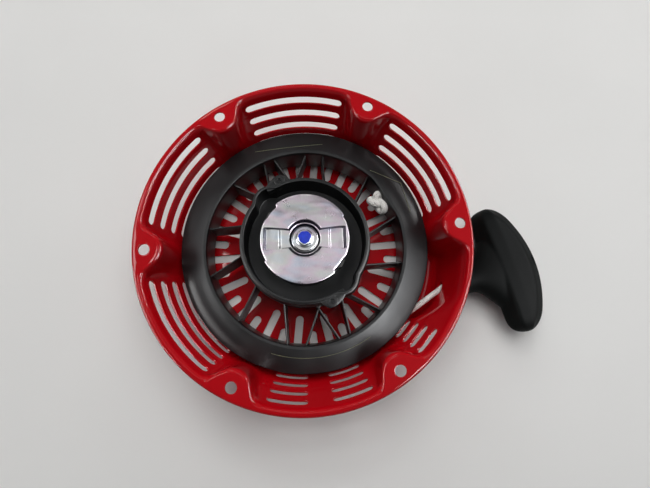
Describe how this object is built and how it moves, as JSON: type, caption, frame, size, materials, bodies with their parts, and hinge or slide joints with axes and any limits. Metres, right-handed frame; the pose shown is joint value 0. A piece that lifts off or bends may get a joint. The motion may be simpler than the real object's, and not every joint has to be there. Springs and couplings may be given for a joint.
{
  "type": "recoil starter",
  "caption": "Pull-rope starter: vented round case, rope reel with swing-out ratchets under a guide disc, and a T-shaped pull grip on a rope.",
  "frame": {"origin": "centre of the mounting bolt circle, in the flange face that bolts to the engine", "axes": "+Z points towards the engine along the reel's axis, so the case lies on its back below z = 0; +X passes through the mounting hole nearest the pull grip"},
  "size_m": [0.2864, 0.2286, 0.057],
  "materials": {
    "red_paint": "gloss",
    "reel_plastic": "satin",
    "ratchet_plastic": "satin",
    "zinc_plate": "bright zinc",
    "steel": "satin",
    "spring_steel": "dark satin",
    "rope": "braided",
    "grip_rubber": "matte"
  },
  "bodies": {
    "case": {"case_shell": "red_paint", "case_back": "red_paint", "spindle_post": "steel", "rope_eyelet": "steel", "recoil_spring": "spring_steel", "rope_lead": "rope", "thrust_washer": "steel", "guide_collar": "zinc_plate", "set_screw": "zinc_plate"},
    "reel": {"reel_hub": "reel_plastic", "reel_ring": "reel_plastic", "reel_ribs": "reel_plastic", "spring_cover": "steel", "rope_winding": "rope", "rope_end_knot": "rope", "ratchet_pins": "steel", "ratchet_springs": "spring_steel"},
    "guide": {"ratchet_guide": "zinc_plate", "friction_spring": "spring_steel"},
    "ratchet_1": {"ratchet_1": "ratchet_plastic"},
    "ratchet_2": {"ratchet_2": "ratchet_plastic"},
    "grip": {"grip_body": "grip_rubber", "grip_cap": "grip_rubber", "grip_washer": "steel", "rope_grip_knot": "rope"}
  },
  "joints": [
    {"name": "reel_spin", "type": "hinge", "parent": "case", "child": "reel", "pos_m": [0, 0, -0.04], "axis": [0, 0, 1], "range_deg": [0, 1000], "stiffness_Nm_per_rad": 0.02, "springref_deg": -1432.39, "deforming": ["recoil_spring"]},
    {"name": "grip_pull", "type": "slide", "parent": "case", "child": "grip", "axis": [0.9826, 0.1857, 0], "range_m": [0, 1.3856], "deforming": ["rope_lead"]},
    {"name": "guide_turn", "type": "hinge", "parent": "reel", "child": "guide", "pos_m": [0, 0, -0.01], "axis": [0, 0, -1], "range_deg": [0, 30]},
    {"name": "ratchet_1_swing", "type": "hinge", "parent": "reel", "child": "ratchet_1", "pos_m": [0.00478, 0.0225, -0.014], "axis": [0, 0, -1], "range_deg": [0, 30]},
    {"name": "ratchet_2_swing", "type": "hinge", "parent": "reel", "child": "ratchet_2", "pos_m": [-0.00478, -0.0225, -0.014], "axis": [0, 0, -1], "range_deg": [0, 30]}
  ],
  "couplings": [
    {"joint": "grip_pull", "follows": "reel_spin", "m_per_rad": 0.07938},
    {"joint": "ratchet_1_swing", "follows": "guide_turn", "ratio": 1},
    {"joint": "ratchet_2_swing", "follows": "guide_turn", "ratio": 1}
  ]
}
